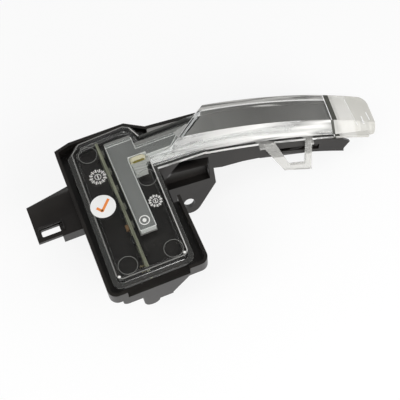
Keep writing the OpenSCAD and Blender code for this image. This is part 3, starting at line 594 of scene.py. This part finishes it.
def makeDateClock(name, centre, radius):
    bm = bmesh.new()
    middle = Vector(centre)
    low, high = -dateClock["under"], dateClock["height"]
    ring, line = dateClock["ring"]
    addRing(bm, (*centre, 0.0), radius * ring - line, radius * ring, high)
    for i in range(2 * dateClock["ticks"]):
        start, end, line = dateClock["shortTick" if i % 2 else "longTick"]
        angle = math.pi * i / dateClock["ticks"]
        way = Vector((math.cos(angle), math.sin(angle))) * radius
        addBar(bm, middle + way * start, middle + way * end, line, low, high)
    reach, line = dateClock["hand"]
    hand = Vector((0.0, radius * reach))
    addBar(bm, middle - hand, middle + hand, line, low, high)
    addPiece(name, bm, opticEdge)


makeDateClock("dateClockYear", (-11.7, 24.0), 4.9)
makeDateClock("dateClockMonth", (12.1, -2.4), 3.9)

# The round mark: a raised ring and dot, white with painted light that they catch
roundMark = {"centre": (2.5, -11.0, 0.0), "radius": 2.9, "line": 0.5, "dot": 1.1, "height": 0.1}


def makeRoundMark():
    bm = bmesh.new()
    radius, height = roundMark["radius"], roundMark["height"]
    addRing(bm, roundMark["centre"], radius - roundMark["line"], radius, height)
    addRing(bm, roundMark["centre"], 0, roundMark["dot"], height)
    addPiece("roundMark", bm, opticEdge)


makeRoundMark()

# Light that the polished top edge of the lid catches: a thin bar along each drawn edge between the level top
# and an upright side, up to where the arm begins. It is brighter on the side that faces the right lamp
edgeLight = {
    "width": 0.55,
    "inset": 0.3,
    "height": 0.06,
    "under": 0.1,
    "levelWithin": 0.1,
    "alongTo": -2.0,
    "levelFace": 0.95,  # least upward share of the top's normal
    "uprightFace": 0.3,  # most upward share of the side's normal
    "brightFace": 0.8,  # least share of the side's normal along X
}


def lidEdges():  # the ends of each such edge in the tray's frame, and the outward normal of its side
    bm = bmesh.new()
    bm.from_mesh(nodes["outer_lens"].data)
    bmesh.ops.remove_doubles(bm, verts=bm.verts, dist=brokenEdge["mergeMm"] * mm)
    found = []
    for edge in bm.edges:
        ends = [v.co / mm + screwHole for v in edge.verts]
        tops = [f for f in edge.link_faces if f.normal.z > edgeLight["levelFace"]]
        sides = [f for f in edge.link_faces if abs(f.normal.z) < edgeLight["uprightFace"]]
        level = all(abs(end.z) < edgeLight["levelWithin"] for end in ends)
        onLid = armPlace(edge.verts[0].co)[0] <= edgeLight["alongTo"]
        if level and onLid and len(tops) == 1 and len(sides) == 1:
            found.append((ends[0].xy, ends[1].xy, sides[0].normal.xy))
    bm.free()
    return found


def makeEdgeLight():
    dim, bright = bmesh.new(), bmesh.new()
    for start, end, outward in lidEdges():
        bm = bright if outward.x > edgeLight["brightFace"] else dim
        inward = outward * -edgeLight["inset"]
        addBar(bm, start + inward, end + inward, edgeLight["width"], -edgeLight["under"], edgeLight["height"])
    addPiece("lidEdgeLight", dim, lineAcrylic)
    addPiece("lidEdgeBright", bright, brightLineAcrylic)


makeEdgeLight()

# Small white discs at the lid's front corners: painted highlights where the rounded corners catch the light
cornerGlints = {"radius": 0.75, "height": 0.1, "at": [(-21.2, -36.9), (15.2, -37.0)]}


def makeCornerGlints():
    bm = bmesh.new()
    for spot in cornerGlints["at"]:
        addRing(bm, (*spot, 0.0), 0, cornerGlints["radius"], cornerGlints["height"], 24)
    addPiece("cornerGlints", bm, opticEdge)


makeCornerGlints()

# Painted highlights, bright facets that the light makes, drawn as thin bars: the tip's are in mm along and
# across the arm, the shoulder's in the tray's frame
facetHighlights = {
    "tip": [
        [(91.5, 23.0), (91.8, 23.0), (93.9, 4.2), (93.6, 4.2)],
        [(98.2, 11.0), (99.1, 11.0), (98.9, 5.6), (98.0, 5.6)],
        [(102.6, 14.3), (103.4, 14.3), (103.9, 8.6), (103.1, 8.6)],
    ],
    "shoulder": [
        [(36.9, 34.4), (38.4, 30.6), (46.6, 36.6), (45.8, 37.2)],
        [(28.5, 25.5), (36.9, 27.6), (36.9, 28.1), (28.5, 26.0)],
    ],
    "levels": (-0.15, 0.05),
}


def makeFacetHighlights():
    bm = bmesh.new()
    for outline in facetHighlights["tip"]:
        addPrism(bm, *[[part(*armPoint(*p), archTop(p[0]) + z) for p in outline] for z in facetHighlights["levels"]])
    addPiece("tipFacetLight", bm, facetGlintAcrylic)
    bm = bmesh.new()
    for outline in facetHighlights["shoulder"]:
        addPrism(bm, *[[part(*p, z) for p in outline] for z in facetHighlights["levels"]])
    addPiece("shoulderFacetLight", bm, shoulderAcrylic)


makeFacetHighlights()

# Ejector marks: real rings, drawn as faint grey lines of painted light
ejector = {
    "at": [(-12.4, 39.4), (-14.8, -32.4), (10.7, -32.6), (13.2, 13.0)],
    "radius": 5.25,
    "line": 0.22,
    "height": 0.08,
}


def makeEjectorMarks():
    bm = bmesh.new()
    radius = ejector["radius"]
    for spot in ejector["at"]:
        addRing(bm, (*spot, 0.0), radius - ejector["line"], radius, ejector["height"], 64)
    addPiece("ejectorMarks", bm, markAcrylic)


makeEjectorMarks()

# A plain stamped tick on the label, as strokes from the label's middle
tick = {
    "strokes": [((-3.6, 0.2), (-1.1, -2.9)), ((-1.5, -2.9), (4.2, 3.2))],
    "width": 1.5,
    "ink": 0.04,
    "under": 0.02,
}


def makeLabelTick():
    bm = bmesh.new()
    top = (labelHigh.z - labelLow.z) / mm
    for start, end in tick["strokes"]:
        ends = [labelSpot.xy + Vector(point) for point in (start, end)]
        addBar(bm, *ends, tick["width"], top - tick["under"], top + tick["ink"])
    addPiece("labelTick", bm, orangeInk)


makeLabelTick()
print("marks made")

# The wall under the lid's flange, which the lid is welded to: its outer corners run from the back left round
# the front
weldWall = {
    "corners": [(-24.1, 31.0), (-25.0, -40.9), (19.4, -40.9), (21.0, 19.4)],
    "thick": 1.7,
    "low": -12.3,
    "high": -7.0,
    "radius": 4.0,
}


def roundCorner(before, corner, after, radius, steps=8):  # points of an arc that rounds the corner
    start = (before - corner).normalized()
    end = (after - corner).normalized()
    half = start.angle(end) / 2
    centre = corner + (start + end).normalized() * radius / math.sin(half)
    first = corner + start * radius / math.tan(half) - centre
    last = corner + end * radius / math.tan(half) - centre
    return [centre + first.slerp(last, i / steps) for i in range(steps + 1)]


def makeWeldWall():
    a, b, c, d = (Vector(corner) for corner in weldWall["corners"])
    low, high, radius = weldWall["low"], weldWall["high"], weldWall["radius"]
    path = [a] + roundCorner(a, b, c, radius) + roundCorner(b, c, d, radius) + [d]
    bm = bmesh.new()
    rows = []
    for i, point in enumerate(path):
        way = (path[min(i + 1, len(path) - 1)] - path[max(i - 1, 0)]).normalized()
        inner = point + Vector((-way.y, way.x)) * weldWall["thick"]
        section = [(point, low), (point, high), (inner, high), (inner, low)]
        rows.append([bm.verts.new(part(*spot, z)) for spot, z in section])
    for one, two in zip(rows, rows[1:]):
        for j in range(4):
            k = (j + 1) % 4
            bm.faces.new((one[j], two[j], two[k], one[k]))
    bm.faces.new(rows[0])
    bm.faces.new(rows[-1][::-1])
    addPiece("lidWeldWall", bm, blackAbs)


makeWeldWall()

# Grey ledges at the neck and behind the optic's short arm: outline in the tray frame, height of foot and top
ledges = {
    "neckLedge": ([(14.3, 36.0), (40.9, 36.0), (42.9, 38.0), (14.3, 38.0)], -8.3, -2.7),
    "backLedge": ([(23.4, 41.0), (52.4, 41.6), (52.8, 43.6), (25.0, 46.3)], -12.1, -5.6),
}


def makeLedges():
    for name, (outline, low, high) in ledges.items():
        bm = bmesh.new()
        addPrism(bm, [part(*p, low) for p in outline], [part(*p, high) for p in outline])
        addPiece(name, bm, greyPlastic)


makeLedges()
print("weld wall and ledges made")

# The world is white to the camera, dimmer to the object, and darker overhead where the lens mirrors it
studio = {
    "white": "#ffffff",
    "floorGapMm": 0.2,
    "floorSize": 4.0,
    "floorGlow": 0.8,
    "worldForObject": 0.45,
    "darkens": (0.3, 0.85),
    "zenith": 0.12,
}
lamps = {  # place and size in metres, power in watts
    "keyLeft": {"at": (-0.6, -0.1, 0.6), "size": 0.45, "power": 2.1},
    "fillFront": {"at": (0.15, -0.6, 0.35), "size": 0.5, "power": 2.6},
    "sideRight": {"at": (0.6, -0.35, 0.25), "size": 0.35, "power": 1.0},
}


# White card: it shows itself white to the camera and in glass, and keeps the object's soft shadow
def paleCard():
    material, tree = newMaterial("paleCard")
    rays = addNode(tree, "ShaderNodeLightPath")
    looked = addNode(tree, "ShaderNodeMath", {"operation": "MAXIMUM"},
                     {0: rays.outputs["Is Camera Ray"], 1: rays.outputs["Is Glossy Ray"]})
    seen = addNode(tree, "ShaderNodeMath", {"operation": "MAXIMUM"},
                   {0: looked.outputs[0], 1: rays.outputs["Is Transmission Ray"]})
    share = addNode(tree, "ShaderNodeMath", {"operation": "MULTIPLY", 1: studio["floorGlow"]},
                    {0: seen.outputs[0]})
    card = addNode(tree, "ShaderNodeBsdfDiffuse", {"Color": linear(studio["white"])})
    glow = addNode(tree, "ShaderNodeEmission", {"Color": linear(studio["white"]), "Strength": 1.0})
    mix = addNode(tree, "ShaderNodeMixShader", {},
                  {0: share.outputs[0], 1: card.outputs["BSDF"], 2: glow.outputs["Emission"]})
    addNode(tree, "ShaderNodeOutputMaterial", {}, {"Surface": mix.outputs[0]})
    return material


def makeFloor():
    bm = bmesh.new()
    half = studio["floorSize"] / 2
    z = cadBox[0].z - studio["floorGapMm"] * mm
    corners = ((-half, -half), (half, -half), (half, half), (-half, half))
    bm.faces.new([bm.verts.new((x, y, z)) for x, y in corners])
    mesh = bpy.data.meshes.new("paleFloor")
    bm.to_mesh(mesh)
    bm.free()
    mesh.materials.append(paleCard())
    floor = bpy.data.objects.new("paleFloor", mesh)
    scene.collection.objects.link(floor)


def makeWorld():
    world = bpy.data.worlds.new("softStudio")
    scene.world = world
    world.use_nodes = True
    tree = world.node_tree
    tree.nodes.clear()
    rays = addNode(tree, "ShaderNodeLightPath")
    place = addNode(tree, "ShaderNodeTexCoord").outputs["Generated"]
    way = addNode(tree, "ShaderNodeSeparateXYZ", {}, {0: place})
    ceiling = addNode(tree, "ShaderNodeMapRange",
                      {"From Min": studio["darkens"][0], "From Max": studio["darkens"][1],
                       "To Min": 1.0, "To Max": studio["zenith"]}, {"Value": way.outputs["Z"]})
    mirrored = addNode(tree, "ShaderNodeMath", {"operation": "MAXIMUM"},
                       {0: rays.outputs["Is Glossy Ray"], 1: rays.outputs["Is Transmission Ray"]})
    forObject = addNode(tree, "ShaderNodeMix", {"data_type": "FLOAT", 2: studio["worldForObject"]},
                        {0: mirrored.outputs[0], 3: ceiling.outputs["Result"]})
    strength = addNode(tree, "ShaderNodeMath", {"operation": "MAXIMUM"},
                       {0: forObject.outputs[0], 1: rays.outputs["Is Camera Ray"]})
    back = addNode(tree, "ShaderNodeBackground", {"Color": linear(studio["white"])},
                   {"Strength": strength.outputs[0]})
    addNode(tree, "ShaderNodeOutputWorld", {}, {"Surface": back.outputs[0]})


def makeLamps():
    for name, lamp in lamps.items():
        data = bpy.data.lights.new(name, "AREA")
        data.size = lamp["size"]
        data.energy = lamp["power"]
        holder = bpy.data.objects.new(name, data)
        scene.collection.objects.link(holder)
        holder.location = lamp["at"]
        holder.rotation_euler = (-Vector(lamp["at"])).to_track_quat("-Z", "Y").to_euler()


makeFloor()
makeWorld()
makeLamps()
scene.view_settings.view_transform = "Standard"
print("studio lit")
